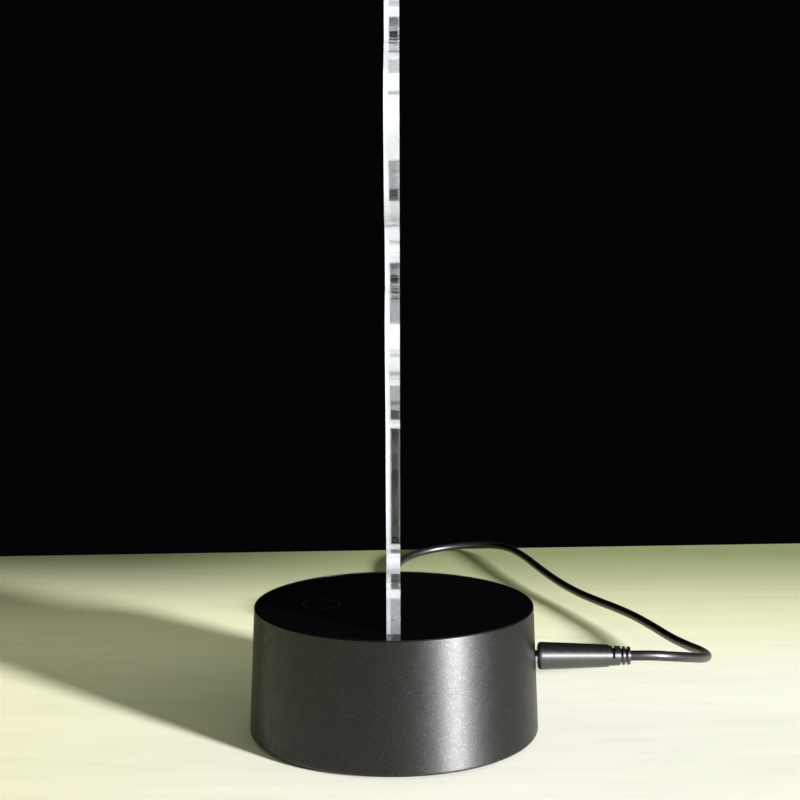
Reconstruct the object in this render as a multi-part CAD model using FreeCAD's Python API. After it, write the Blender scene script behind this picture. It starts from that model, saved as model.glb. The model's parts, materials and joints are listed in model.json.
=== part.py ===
import FreeCAD, Part
import math
import os

Vector = FreeCAD.Vector
os.makedirs("parts", exist_ok=True)

# Night light with an edge-lit clear plate cut round a guitar, standing in a round base.
# Millimetres. Z is up, the plate's engraved face and the touch key look to -Y, the supply lead leaves to +Y.
# The origin is the centre of the pad that the base stands on.

# Base shell
base_height = 40.4
base_bottom_radius = 45.3
base_top_radius = 43.5
shell_wall = 2.0
shell_floor_gap = 0.8
foot_round_share = 0.9
rim_width = 0.95
rim_round_share = 0.37
web_thickness = 2.0

# Gloss top plate, let into the shell's rim
top_plate_thickness = 2.0
top_plate_drop = 0.15
top_plate_clearance = 0.15

# Clear plate and its slot
plate_thickness = 4.0
tab_depth = 14.0
slot_clearance = 0.2

# Holder that carries the plate over the lights
holder_end_gap = 2.4
holder_end_wall = 3.8
holder_wall = 2.5
ledge_height = 3.6
ledge_reach = 4.2
ear_thickness = 2.5
ear_radius = 3.6
ear_x = 26.0
ear_y = 9.4
ear_boss_height = 5.0
ear_boss_radius = 3.0

# Light board and its lights
light_board_thickness = 1.2
light_size = 5.0
light_height = 1.6
light_count = 7
light_pitch = 9.0
light_window_gap = 0.5
wire_tab_length = 13.0
wire_tab_reach = 5.0

# Control board
board_thickness = 1.6
board_half_width = 22.0
board_front = 32.0
board_back = 30.0
board_tongue_half_width = 8.0
board_tongue_end = 40.4
board_gap = 1.35
board_screw_x = 18.0
board_screw_front = 27.0
board_screw_back = 24.0
board_boss_radius = 3.0

# Bottom cover and the pad under it
cover_thickness = 3.0
cover_base_height = 1.0
cover_clearance = 0.15
cover_skirt = 1.2
cover_screw_radius = 36.4
cover_screw_angle = 30.0
cover_boss_radius = 3.5
cover_recess_depth = 1.8
cover_recess_gap = 0.4
cover_chamfer = 0.4
ear_hole_spare = 0.5
ear_overlap = 0.5
pad_radius = 41.6
pad_hole_radius = 3.6

# Screws: shank radius, shank length, head radius, head height
cover_screw = (1.3, 9.0, 2.6, 1.6)
board_screw = (1.2, 7.5, 2.4, 1.6)
ear_screw = (1.0, 6.0, 1.9, 1.4)
light_screw = (0.9, 5.5, 1.7, 1.2)
thread_bite = 0.1
hole_clearance = 0.25
drive_depth = 0.7
drive_width = 0.55

# Supply socket
jack_width = 7.0
jack_length = 12.0
jack_axis_rise = 3.3
jack_wall_gap = 0.6
jack_nose_radius = 3.1
jack_hole_clearance = 0.2
jack_pin_radius = 0.6
jack_tail_thickness = 0.4
jack_tail_width = 1.6
contact_thickness = 0.3

# Supply plug
barrel_radius = 1.75
barrel_length = 9.5
barrel_sleeve_wall = 0.4
barrel_liner_wall = 0.4
barrel_contact_wall = 0.25
barrel_fit = 0.06
plug_gap = 0.8
grip_radius = 4.4
grip_end_radius = 3.5
grip_length = 22.3
grip_mouth_round = 1.1
grip_tail_round = 0.35
relief_radius = 3.2
relief_end_radius = 2.8
relief_length = 6.6
relief_grooves = [1.3, 3.9, 5.4]
relief_groove_depth = 0.75
relief_groove_width = 0.8

# Supply cord
cord_radius = 1.6
coil_start_radius = 21.0
coil_half_turns = 5
coil_pitch = 3.65
coil_layer_rise = 3.65
coil_x = -84.0
coil_climb_slope = 0.15
tie_thickness = 0.6
tie_width = 5.0
tie_clearance = 0.12

# USB plug at the cord's far end
usb_relief_length = 8.0
usb_relief_grooves = [1.5, 3.8, 6.1]
usb_relief_radius = 2.6
usb_grip_length = 22.0
usb_grip_width = 15.0
usb_grip_height = 8.8
usb_grip_round = 2.6
usb_shell_length = 18.5
usb_shell_width = 12.0
usb_shell_height = 4.5
usb_shell_wall = 0.3
usb_shell_buried = 3.0
usb_window_start = 5.2
usb_window_length = 2.4
usb_window_width = 2.3
usb_window_offset = 2.9
usb_tongue_setback = 0.6
usb_tongue_height = 1.9
usb_rear_block_start = 9.0
usb_contact_starts = [1.4, 2.4, 2.4, 1.4]
usb_contact_pitch = 2.3
usb_contact_width = 1.1
usb_contact_thickness = 0.2

# Chips: middle x, middle y, body length, body width, top's height, leads on each long side, lead pitch
control_chip = (11.0, -17.0, 9.9, 3.9, 1.6, 8, 1.27)
touch_chip = (-12.0, -17.0, 4.9, 3.9, 1.6, 4, 1.27)
driver_transistors = [(x, 13.0, 2.9, 1.3, 1.1, 2, 1.9) for x in (2.0, 8.0, 14.0)]
chip_lift = 0.15
lead_width = 0.4
lead_thickness = 0.2
lead_rise = 0.7
lead_reach = 0.9
lead_foot = 0.35

# Other electronics on the boards
resistor_places = [(x, y) for x in (2.0, 8.0, 14.0) for y in (18.0, 21.0)]
resistor_size = (2.0, 1.2, 0.55)
capacitor_place = (-12.0, 15.0)
capacitor_foot = (6.6, 0.9)
capacitor_can = (3.1, 7.2)
capacitor_round = 0.5
touch_y = -22.7
touch_pad_radius = 6.0
touch_pad_thickness = 0.3
touch_wire_drop = 4.0
touch_wire_offset = (-4.5, 1.5)
touch_wire_rise = 5.0
wire_radius = 0.5
wire_pitch = 2.54
wire_count = 4
wire_span = 6.0
wire_straight = 2.5

# Guitar on the plate, in its own axes: along the neck from the body's centre, and across it
guitar_lean = 30.0
guitar_x = 5.0
guitar_rise = 49.8
plate_margin = 4.0
body_side = [
    (-38.0, 0.0), (-36.0, 12.0), (-27.5, 24.0), (-12.0, 31.0), (4.0, 31.0), (18.0, 26.5), (29.0, 22.5),
    (42.0, 22.5), (53.0, 23.0), (60.0, 20.0), (62.0, 15.5), (58.0, 10.5), (52.0, 6.5),
]
body_middle = 8.0
neck_start = 40.0
neck_end = 88.0
neck_heel_half_width = 4.6
neck_nut_half_width = 3.6
neck_overlap = 8.0
head_length = 34.0
head_base_half_width = 7.6
head_tip_half_width = 6.2
head_shoulder = 7.0
head_tip_corner = 3.0
head_lobe_start = 84.0
head_lobe_end = 127.5
head_lobe_half_width = 19.0
head_lobe_round = 12.5
lobe_round_share = 0.45
note_x = 36.5
note_rise = 171.8
note_lobe_radius = 20.5
tab_shoulder_rise = 18.0
tab_shoulder_round = 3.0
tab_foot_round = 1.0
outline_fillet = 3.0
corner_turn = 0.1
cutter_margin = 0.1
groove_depth = 0.4
groove_width = 0.9
fret_groove_width = 0.5
fret_edge_gap = 0.3
fret_count = 10
bridge_along = -15.5
pickup_frames = [(-18.0, 5.0), (4.0, 6.0), (20.0, 6.0)]
pickup_half_width = 8.5
pickup_line = 0.7
contour_shares = (0.86, 0.74)
knob_places = [(-17.0, 13.0), (-8.0, 16.0), (1.5, 17.0)]
knob_radius = 2.8
knob_line = 0.8
knob_dot_radius = 0.7
tuner_radius = 2.0
tuner_line = 0.7
tuner_count = 3
tuner_start = 10.0
tuner_pitch = 8.0
tuner_reach = 3.2
note_head_place = (-4.0, -9.0)
note_head_radii = (5.2, 3.8)
note_head_lean = 20.0
note_stem = (-0.2, 1.2, -8.5, 13.0)
note_flag = [(1.2, 13.0), (8.0, 5.0), (7.5, -1.5), (6.2, 2.5), (1.2, 7.0)]

# Heights and radii that follow from the sizes above
web_top = base_height - top_plate_drop - top_plate_thickness
web_bottom = web_top - web_thickness
plate_surface = web_top + top_plate_thickness
tab_bottom = plate_surface - tab_depth
slot_width = plate_thickness + 2 * slot_clearance
holder_width = slot_width + 2 * holder_wall
holder_bottom = tab_bottom - ledge_height
light_board_bottom = holder_bottom - light_board_thickness
board_top = light_board_bottom - board_gap
board_bottom = board_top - board_thickness
cover_top = cover_base_height + cover_thickness
jack_z = board_top + jack_axis_rise
guitar_z = plate_surface + guitar_rise
note_z = plate_surface + note_rise
tab_shoulder_z = plate_surface + tab_shoulder_rise
foot_corner = math.pi / 2 - math.atan2(base_bottom_radius - base_top_radius, base_height)
lean = math.radians(guitar_lean)


def outer_radius(z):
    """Radius of the tapered drum at height z."""
    return base_bottom_radius + (base_top_radius - base_bottom_radius) * z / base_height


holder_corner_radius = outer_radius(web_bottom) - shell_wall - holder_end_gap
holder_length = 2 * math.sqrt(holder_corner_radius**2 - (holder_width / 2) ** 2)
slot_length = holder_length - 2 * holder_end_wall
tab_length = slot_length - 2 * slot_clearance
light_screw_x = (slot_length / 2 + holder_length / 2) / 2
seat_radius = base_top_radius - rim_width
top_plate_radius = seat_radius - top_plate_clearance
cover_seat_radius = outer_radius(cover_top) - cover_skirt
cover_radius = cover_seat_radius - cover_clearance
jack_face_y = outer_radius(jack_z) - 0.15
jack_front_y = outer_radius(jack_z) - shell_wall - jack_wall_gap
jack_back_y = jack_front_y - jack_length
plug_face_y = outer_radius(jack_z) + plug_gap
barrel_tip_y = plug_face_y - barrel_length
grip_end_y = plug_face_y + grip_length
cord_start_y = grip_end_y + relief_length
coil_z = cord_radius + tie_thickness + tie_clearance
coil_top_z = coil_z + coil_layer_rise
usb_z = usb_grip_height / 2
cover_screw_places = [
    (cover_screw_radius * math.cos(math.radians(a)), cover_screw_radius * math.sin(math.radians(a)))
    for a in (cover_screw_angle, 180 - cover_screw_angle, 180 + cover_screw_angle, -cover_screw_angle)
]
board_screw_places = [
    (side * board_screw_x, y) for side in (-1, 1) for y in (-board_screw_front, board_screw_back)
]
ear_places = [(-ear_x, -ear_y), (ear_x, ear_y)]
light_screw_places = [(-light_screw_x, 0.0), (light_screw_x, 0.0)]

# The free stretch of the cord, from the strain relief to the coil, then from the coil to the USB plug.
# It loops beside the plug, sags towards the floor, runs back, turns behind the base and comes forward
# to the coil.
cord_route = [
    (0.0, cord_start_y, jack_z),
    (0.0, 80.6, 23.5),
    (-2.4, 87.4, 22.4),
    (-8.6, 94.2, 20.3),
    (-17.2, 99.8, 17.5),
    (-27.9, 104.0, 14.6),
    (-40.0, 106.7, 11.8),
    (-53.0, 107.2, 9.5),
    (-66.3, 105.2, 7.5),
    (-81.0, 101.7, 6.4),
    (-97.0, 97.9, 6.2),
    (-111.5, 93.4, 6.3),
    (-125.0, 88.3, 6.0),
    (-139.0, 82.2, 5.5),
    (-154.5, 75.6, 5.3),
    (-173.0, 69.4, 5.6),
    (-195.0, 63.9, 6.0),
    (-219.0, 59.0, 6.3),
    (-240.0, 53.0, 6.0),
    (-250.3, 42.5, 5.0),
    (-251.4, 27.0, 3.8),
    (-245.5, 13.0, 2.7),
    (-231.5, 2.5, 2.0),
    (-212.0, -0.5, cord_radius),
    (-184.0, 2.0, cord_radius),
    (-156.0, 8.5, cord_radius),
    (-130.0, 17.0, cord_radius + 0.2),
    (-106.0, coil_start_radius, coil_z),
    (coil_x, coil_start_radius, coil_z),
]
tail_route = [
    (coil_x, -coil_start_radius, coil_top_z),
    (coil_x - 6.5, -coil_start_radius, coil_top_z),
    (coil_x - 14.5, -coil_start_radius, usb_z),
    (coil_x - 21.0, -coil_start_radius, usb_z),
]
usb_start_x = tail_route[-1][0]
usb_y = tail_route[-1][1]


def block(x0, x1, y0, y1, z0, z1):
    """Box between two corners."""
    return Part.makeBox(x1 - x0, y1 - y0, z1 - z0, Vector(x0, y0, z0))


def rod(radius, length, place, direction=(0, 0, 1)):
    """Cylinder from a point along a direction."""
    return Part.makeCylinder(radius, length, Vector(*place), Vector(*direction))


def ring(outer, inner, length, place, direction=(0, 0, 1)):
    """Tube from a point along a direction."""
    return rod(outer, length, place, direction).cut(rod(inner, length, place, direction))


def rounded_block(x0, x1, y0, y1, z0, z1, radius, along="Z"):
    """Box with the four edges along one axis rounded."""
    solid = block(x0, x1, y0, y1, z0, z1)
    index = "XYZ".index(along)
    edges = []
    for edge in solid.Edges:
        direction = edge.Vertexes[1].Point - edge.Vertexes[0].Point
        if abs(direction[index]) > 0.5 * direction.Length:
            edges.append(edge)
    return solid.makeFillet(radius, edges)


def joined(shapes):
    """One solid made of overlapping shapes."""
    return shapes[0].multiFuse(shapes[1:]).removeSplitter()


def screw(sizes, place, up=1):
    """Pan-head screw with a cross recess. place is the middle of the head's seat, its shank up or down."""
    shank_radius, shank_length, head_radius, head_height = sizes
    x, y, z = place
    shank = rod(shank_radius, shank_length, place, (0, 0, up))
    head = rod(head_radius, head_height, place, (0, 0, -up))
    bottom = z - up * head_height
    rim = [e for e in head.Edges if len(e.Vertexes) == 1 and abs(e.CenterOfMass.z - bottom) < 1e-6]
    head = head.makeFillet(head_height * 0.4, rim)
    arm = head_radius * 0.62
    low, high = sorted((bottom, bottom + up * drive_depth))
    cross = block(x - arm, x + arm, y - drive_width / 2, y + drive_width / 2, low, high)
    cross = cross.fuse(block(x - drive_width / 2, x + drive_width / 2, y - arm, y + arm, low, high))
    return joined([shank, head]).cut(cross)


def screws(sizes, places, z):
    """A set of identical screws that go in from below."""
    return Part.makeCompound([screw(sizes, (x, y, z)) for x, y in places])


def pilot_holes(sizes, places, z, depth):
    """Blind holes that a set of screws bites into."""
    return [rod(sizes[0] - thread_bite, depth, (x, y, z)) for x, y in places]


def through_holes(sizes, places, z0, z1):
    """Clear holes for a set of screws."""
    return [rod(sizes[0] + hole_clearance, z1 - z0, (x, y, z0)) for x, y in places]


def base_shell():
    """Tapered drum with its top web, rim, screw columns and the hole for the socket."""
    profile = [
        (outer_radius(shell_floor_gap), shell_floor_gap),
        (base_top_radius, base_height),
        (seat_radius, base_height),
        (seat_radius, web_top),
        (0.0, web_top),
        (0.0, web_bottom),
        (outer_radius(web_bottom) - shell_wall, web_bottom),
        (outer_radius(cover_top) - shell_wall, cover_top),
        (cover_seat_radius, cover_top),
        (outer_radius(shell_floor_gap) - cover_skirt, shell_floor_gap),
    ]
    points = [Vector(0, r, z) for r, z in profile]
    drum = Part.Face(Part.makePolygon(points + points[:1])).revolve(Vector(), Vector(0, 0, 1), 360)
    foot_edge = [e for e in drum.Edges if ring_edge(e, outer_radius(shell_floor_gap), shell_floor_gap)]
    drum = drum.makeFillet(foot_round_share * cover_skirt * math.tan(foot_corner / 2), foot_edge)
    rim_edge = [e for e in drum.Edges if ring_edge(e, base_top_radius, base_height)]
    drum = drum.makeFillet(rim_round_share * rim_width, rim_edge)
    posts = [rod(cover_boss_radius, web_bottom - cover_top, (x, y, cover_top)) for x, y in cover_screw_places]
    board_post = web_bottom - board_top
    posts += [rod(board_boss_radius, board_post, (x, y, board_top)) for x, y in board_screw_places]
    posts += [
        rod(ear_boss_radius, ear_boss_height, (x, y, web_bottom - ear_boss_height)) for x, y in ear_places
    ]
    holes = [block(-slot_length / 2, slot_length / 2, -slot_width / 2, slot_width / 2, web_bottom, web_top)]
    holes += pilot_holes(cover_screw, cover_screw_places, cover_top, cover_screw[1])
    holes += pilot_holes(board_screw, board_screw_places, board_top, board_screw[1])
    ear_seat = web_bottom - ear_boss_height
    holes += pilot_holes(ear_screw, ear_places, ear_seat, ear_screw[1] - ear_thickness + ear_hole_spare)
    jack_hole_radius = jack_nose_radius + jack_hole_clearance
    holes.append(rod(jack_hole_radius, 3 * shell_wall, (0, jack_front_y, jack_z), (0, 1, 0)))
    return joined([drum] + posts).cut(holes)


def ring_edge(edge, radius, z):
    """True for the full circle of that radius at that height."""
    box = edge.BoundBox
    return abs(box.ZMin - z) < 1e-6 and abs(box.ZMax - z) < 1e-6 and abs(box.XMax - radius) < 1e-4


def top_plate():
    """Gloss disc with the slot that the clear plate goes through."""
    disc = rod(top_plate_radius, top_plate_thickness, (0, 0, web_top))
    slot = block(-slot_length / 2, slot_length / 2, -slot_width / 2, slot_width / 2, web_top, plate_surface)
    return disc.cut(slot)


def plate_holder():
    """Channel under the web, with end ledges for the plate's tab, a window for the lights and two ears."""
    body = block(
        -holder_length / 2, holder_length / 2, -holder_width / 2, holder_width / 2, holder_bottom, web_bottom
    )
    ear_top = web_bottom - ear_boss_height
    ears = []
    for x, y in ear_places:
        side = 1 if y > 0 else -1
        ears.append(rod(ear_radius, ear_thickness, (x, y, ear_top - ear_thickness)))
        low, high = sorted((side * (holder_width / 2 - ear_overlap), y))
        ears.append(block(x - ear_radius, x + ear_radius, low, high, ear_top - ear_thickness, ear_top))
    body = joined([body] + ears)
    window_half = light_size / 2 + light_window_gap
    window_end = slot_length / 2 - ledge_reach
    cuts = [
        block(-slot_length / 2, slot_length / 2, -slot_width / 2, slot_width / 2, tab_bottom, web_bottom),
        block(-window_end, window_end, -window_half, window_half, holder_bottom, tab_bottom - 0.8),
        block(-window_end, window_end, -slot_width / 2, slot_width / 2, holder_bottom, tab_bottom),
    ]
    cuts += through_holes(ear_screw, ear_places, ear_top - ear_thickness, ear_top)
    cuts += pilot_holes(light_screw, light_screw_places, holder_bottom, light_screw[1])
    return body.cut(cuts)


def light_board():
    """Narrow board under the holder, with a tab to one side for the wires."""
    half = holder_length / 2
    strip = block(-half, half, -holder_width / 2, holder_width / 2, light_board_bottom, holder_bottom)
    tab = block(
        -wire_tab_length / 2, wire_tab_length / 2, -holder_width / 2 - wire_tab_reach, -holder_width / 2 + 1,
        light_board_bottom, holder_bottom,
    )
    return joined([strip, tab]).cut(
        through_holes(light_screw, light_screw_places, light_board_bottom, holder_bottom)
    )


def lights():
    """Row of light packages, each with a round well in its top."""
    row = []
    for k in range(light_count):
        x = (k - (light_count - 1) / 2) * light_pitch
        half = light_size / 2
        package = rounded_block(
            x - half, x + half, -half, half, holder_bottom, holder_bottom + light_height, 0.4
        )
        well = Part.makeCone(
            light_size * 0.33, light_size * 0.4, 0.5, Vector(x, 0, holder_bottom + light_height - 0.5)
        )
        row.append(package.cut(well))
    return Part.makeCompound(row)


def control_board():
    """Board hung from the shell's columns, with a tongue at the back for the socket."""
    main = rounded_block(
        -board_half_width, board_half_width, -board_front, board_back, board_bottom, board_top, 1.5
    )
    tongue = block(
        -board_tongue_half_width, board_tongue_half_width, board_back - 2, board_tongue_end,
        board_bottom, board_top,
    )
    return joined([main, tongue]).cut(through_holes(board_screw, board_screw_places, board_bottom, board_top))


def chip(x, y, length, width, height, leads, pitch):
    """Chip with gull-wing leads along both long sides."""
    under, top = board_top + chip_lift, board_top + height
    body = block(x - length / 2, x + length / 2, y - width / 2, y + width / 2, under, top)
    shapes = [body]
    low = board_top + lead_rise
    for k in range(leads):
        lead_x = x + (k - (leads - 1) / 2) * pitch
        x0, x1 = lead_x - lead_width / 2, lead_x + lead_width / 2
        for side in (-1, 1):
            root, tip = y + side * (width / 2 - lead_foot), y + side * (width / 2 + lead_reach)
            heel = tip - side * lead_foot
            shapes.append(block(x0, x1, min(root, tip), max(root, tip), low, low + lead_thickness))
            shapes.append(block(x0, x1, min(heel, tip), max(heel, tip), board_top, low + lead_thickness))
    return joined(shapes)


def chip_resistors():
    """Six flat resistors in two rows."""
    length, width, height = resistor_size
    return Part.makeCompound([
        block(x - length / 2, x + length / 2, y - width / 2, y + width / 2, board_top, board_top + height)
        for x, y in resistor_places
    ])


def supply_capacitor():
    """Upright can on its square foot."""
    x, y = capacitor_place
    side, foot_height = capacitor_foot
    radius, can_height = capacitor_can
    foot_top = board_top + foot_height
    foot = block(x - side / 2, x + side / 2, y - side / 2, y + side / 2, board_top, foot_top)
    can = rod(radius, can_height, (x, y, foot_top))
    top = [e for e in can.Edges if ring_edge(e, x + radius, foot_top + can_height)]
    return joined([foot, can.makeFillet(capacitor_round, top)])


def touch_pad():
    """Foil disc under the web that feels a finger on the top plate's mark."""
    return rod(touch_pad_radius, touch_pad_thickness, (0, touch_y, web_bottom - touch_pad_thickness))


def touch_wire():
    """Insulated wire from the foil disc down to the control board."""
    top = web_bottom - touch_pad_thickness
    x, y = touch_wire_offset[0], touch_y + touch_wire_offset[1]
    route = [
        (0, touch_y, top), (0, touch_y, top - touch_wire_drop),
        (x, y, board_top + touch_wire_rise), (x, y, board_top),
    ]
    return tube(route, wire_radius, "touch wire")


def board_wires():
    """Four short wires that loop from the light board's tab to the control board."""
    y0 = -holder_width / 2 - wire_tab_reach / 2
    y1 = y0 - wire_span
    wires = []
    for k in range(wire_count):
        x = (k - (wire_count - 1) / 2) * wire_pitch
        top = holder_bottom + wire_straight
        start, end = Vector(x, y0, holder_bottom), Vector(x, y1, board_top)
        rise, fall = Vector(x, y0, top), Vector(x, y1, top)
        crown = Vector(x, (y0 + y1) / 2, top + (y0 - y1) / 2)
        path = Part.Wire([
            Part.LineSegment(start, rise).toShape(),
            Part.Arc(rise, crown, fall).toShape(),
            Part.LineSegment(fall, end).toShape(),
        ])
        wires.append(swept(path, wire_radius, start, Vector(0, 0, 1)))
    return Part.makeCompound(wires)


def jack_body():
    """Socket housing with a round nose in the shell's wall and a stepped bore for the plug."""
    half = jack_width / 2
    body = block(-half, half, jack_back_y, jack_front_y, board_top, jack_z + half)
    nose = rod(jack_nose_radius, jack_face_y - jack_front_y, (0, jack_front_y, jack_z), (0, 1, 0))
    bore_end = barrel_tip_y - 0.5
    bore = rod(barrel_radius + barrel_fit, jack_face_y - bore_end, (0, bore_end, jack_z), (0, 1, 0))
    pin_hole = rod(jack_pin_radius, bore_end - jack_back_y, (0, jack_back_y, jack_z), (0, 1, 0))
    top = jack_z + barrel_radius + barrel_fit
    window = block(
        -jack_tail_width / 2, jack_tail_width / 2, jack_back_y, jack_front_y - 1.5, top - 0.6, jack_z + half
    )
    return joined([body, nose]).cut([bore, pin_hole, window])


def jack_pin():
    """Centre pin of the socket, with its tail down to the board."""
    pin_end = jack_face_y - 1.2
    pin = rod(jack_pin_radius, pin_end - jack_back_y, (0, jack_back_y, jack_z), (0, 1, 0))
    tip = [e for e in pin.Edges if len(e.Vertexes) == 1 and abs(e.CenterOfMass.y - pin_end) < 1e-6]
    pin = pin.makeFillet(jack_pin_radius * 0.7, tip)
    half = jack_tail_width / 2
    tail = block(-half, half, jack_back_y - jack_tail_thickness, jack_back_y, board_top, jack_z + 1.0)
    return joined([pin, tail])


def jack_contact():
    """Leaf over the bore that presses on the plug's sleeve, with a tail behind the housing."""
    leaf_z = jack_z + barrel_radius + barrel_fit
    half = jack_tail_width / 2
    back = jack_back_y - jack_tail_thickness - contact_thickness - 0.5
    leaf = block(-half, half, back, jack_front_y - 2.5, leaf_z, leaf_z + contact_thickness)
    tail = block(-half, half, back, back + contact_thickness, board_top, leaf_z)
    return joined([leaf, tail])


def bottom_cover():
    """Round cover inside the shell's foot, with sunk screw seats."""
    plate = rod(cover_radius, cover_thickness, (0, 0, cover_base_height))
    top_edge = [e for e in plate.Edges if ring_edge(e, cover_radius, cover_base_height)]
    plate = plate.makeChamfer(cover_chamfer, top_edge)
    cuts = through_holes(cover_screw, cover_screw_places, cover_base_height, cover_top)
    recess_radius = cover_screw[2] + cover_recess_gap
    cuts += [rod(recess_radius, cover_recess_depth, (x, y, cover_base_height)) for x, y in cover_screw_places]
    return plate.cut(cuts)


def base_pad():
    """Non-slip foam disc under the cover, open at the screws."""
    pad = rod(pad_radius, cover_base_height, (0, 0, 0))
    return pad.cut([rod(pad_hole_radius, cover_base_height, (x, y, 0)) for x, y in cover_screw_places])


def swept(path, radius, start, direction):
    """Round tube along a smooth wire."""
    circle = Part.Wire([Part.makeCircle(radius, start, direction)])
    return path.makePipeShell([circle], True, False)


def tube(route, radius, label):
    """Round tube on straight runs joined by tangent arcs. Prints each arc's radius and the volume's share."""
    points = [Vector(*p) for p in route]
    edges, radii, last = [], [], points[0]
    for before, corner, after in zip(points, points[1:], points[2:]):
        back, ahead = before - corner, after - corner
        shorter = min(back.Length, ahead.Length)
        back.normalize()
        ahead.normalize()
        half_turn = (math.pi - back.getAngle(ahead)) / 2
        reach = 0.45 * shorter
        arc_radius = reach / math.tan(half_turn)
        middle = (back + ahead).normalize() * (arc_radius / math.cos(half_turn) - arc_radius)
        enter, leave = corner + back * reach, corner + ahead * reach
        edges.append(Part.LineSegment(last, enter).toShape())
        edges.append(Part.Arc(enter, corner + middle, leave).toShape())
        radii.append(round(arc_radius, 1))
        last = leave
    edges.append(Part.LineSegment(last, points[-1]).toShape())
    path = Part.Wire(edges)
    solid = swept(path, radius, points[0], points[1] - points[0])
    share = solid.Volume / (math.pi * radius**2 * path.Length)
    print(label, "length", round(path.Length, 1), "volume share", round(share, 4), "radii", radii)
    return solid


def biarc(start, start_way, end, end_way):
    """Two arcs that leave one point and reach another in the given directions."""
    gap = end - start
    square = 2 * (1 - start_way.dot(end_way))
    along = gap.dot(start_way + end_way)
    if square < 1e-9:
        reach = gap.dot(gap) / (2 * along)
    else:
        reach = (-along + math.sqrt(along**2 + square * gap.dot(gap))) / square
    first, second = start + start_way * reach, end - end_way * reach
    joint = (first + second) * 0.5
    return [arc_to(start, start_way, joint), arc_to(joint, (second - first).normalize(), end)]


def arc_to(start, way, end):
    """Arc that leaves a point in a direction and ends at another point. A straight line if it has no bend."""
    chord = end - start
    across = way.cross(chord)
    if across.Length < 1e-6 * chord.Length:
        return Part.LineSegment(start, end).toShape()
    normal = across.cross(way).normalize()
    radius = chord.dot(chord) / (2 * chord.dot(normal))
    centre = start + normal * radius
    middle = (start + end) * 0.5 - centre
    if way.dot(chord) < 0:
        middle = middle * -1
    return Part.Arc(start, centre + middle.normalize() * radius, end).toShape()


def coil_radius(step):
    """Radius of the wound turns after a number of half turns from their outer end."""
    return coil_start_radius - coil_pitch / 2 * step


def cord_coil():
    """Two layers of turns: in along the lower one, up where it reverses, and out along the upper one."""
    edges = []
    side = 1
    for step in range(coil_half_turns):
        edges.append(half_turn(side, coil_radius(step), coil_radius(step + 1), coil_z))
        side = -side
    inner = coil_radius(coil_half_turns)
    start = Vector(coil_x, side * inner, coil_z)
    middle = Vector(coil_x + side * (inner - coil_pitch / 4), 0, coil_z + coil_layer_rise / 2)
    end = Vector(coil_x, -side * inner, coil_top_z)
    climb = Vector(0, -side, coil_climb_slope).normalize()
    edges += biarc(start, Vector(side, 0, 0), middle, climb)
    edges += biarc(middle, climb, end, Vector(-side, 0, 0))
    side = -side
    for step in range(coil_half_turns, 0, -1):
        edges.append(half_turn(side, coil_radius(step), coil_radius(step - 1), coil_top_z))
        side = -side
    path = Part.Wire(edges)
    solid = swept(path, cord_radius, Vector(coil_x, coil_start_radius, coil_z), Vector(1, 0, 0))
    share = solid.Volume / (math.pi * cord_radius**2 * path.Length)
    gap = least_gap(path)
    print("coil length", round(path.Length, 1), "volume share", round(share, 4), "least gap", round(gap, 2))
    return solid


def half_turn(side, radius, next_radius, z):
    """Level half turn, clockwise from above, that changes its radius."""
    start = Vector(coil_x, side * radius, z)
    end = Vector(coil_x, -side * next_radius, z)
    middle = Vector(coil_x + side * (radius + next_radius) / 2, side * (radius - next_radius) / 2, z)
    return Part.Arc(start, middle, end).toShape()


def least_gap(path):
    """Least clear distance between the wound cord and itself, measured on points."""
    spacing = 1.0
    points = path.discretize(Number=int(path.Length / spacing))
    skip = int(4 * cord_radius / spacing)
    least = path.Length
    for i, a in enumerate(points):
        for b in points[i + skip:]:
            least = min(least, a.distanceToPoint(b))
    return least - 2 * cord_radius


def coil_tie():
    """Strap round the wound turns on the side towards the base."""
    inner_edge = coil_radius(coil_half_turns) + coil_pitch / 4 - cord_radius
    outer_edge = coil_radius(0) - coil_pitch / 4 + cord_radius
    sag = (tie_width / 2) ** 2 / coil_radius(coil_half_turns)
    x0, x1 = coil_x + inner_edge - sag - 2 * tie_clearance, coil_x + outer_edge + 2 * tie_clearance
    z0, z1 = tie_thickness, coil_top_z + cord_radius + tie_clearance
    half = tie_width / 2
    hole = rounded_block(x0, x1, -half, half, z0, z1, 0.8, "Y")
    t = tie_thickness
    strap = rounded_block(x0 - t, x1 + t, -half, half, z0 - t, z1 + t, 0.8 + t, "Y")
    return strap.cut(hole)


def plug_tube(outer, inner, shorter=0.0):
    """One coaxial layer of the plug's barrel."""
    y = barrel_tip_y + shorter
    return ring(outer, inner, plug_face_y - y, (0, y, jack_z), (0, 1, 0))


def plug_grip():
    """Moulded grip, tapered towards the cord and rounded at both ends."""
    grip = Part.makeCone(
        grip_radius, grip_end_radius, grip_length, Vector(0, plug_face_y, jack_z), Vector(0, 1, 0)
    )
    mouth = [e for e in grip.Edges if len(e.Vertexes) == 1 and abs(e.CenterOfMass.y - plug_face_y) < 1e-6]
    grip = grip.makeFillet(grip_mouth_round, mouth)
    tail = [e for e in grip.Edges if len(e.Vertexes) == 1 and abs(e.CenterOfMass.y - grip_end_y) < 1e-6]
    return grip.makeFillet(grip_tail_round, tail)


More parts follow.
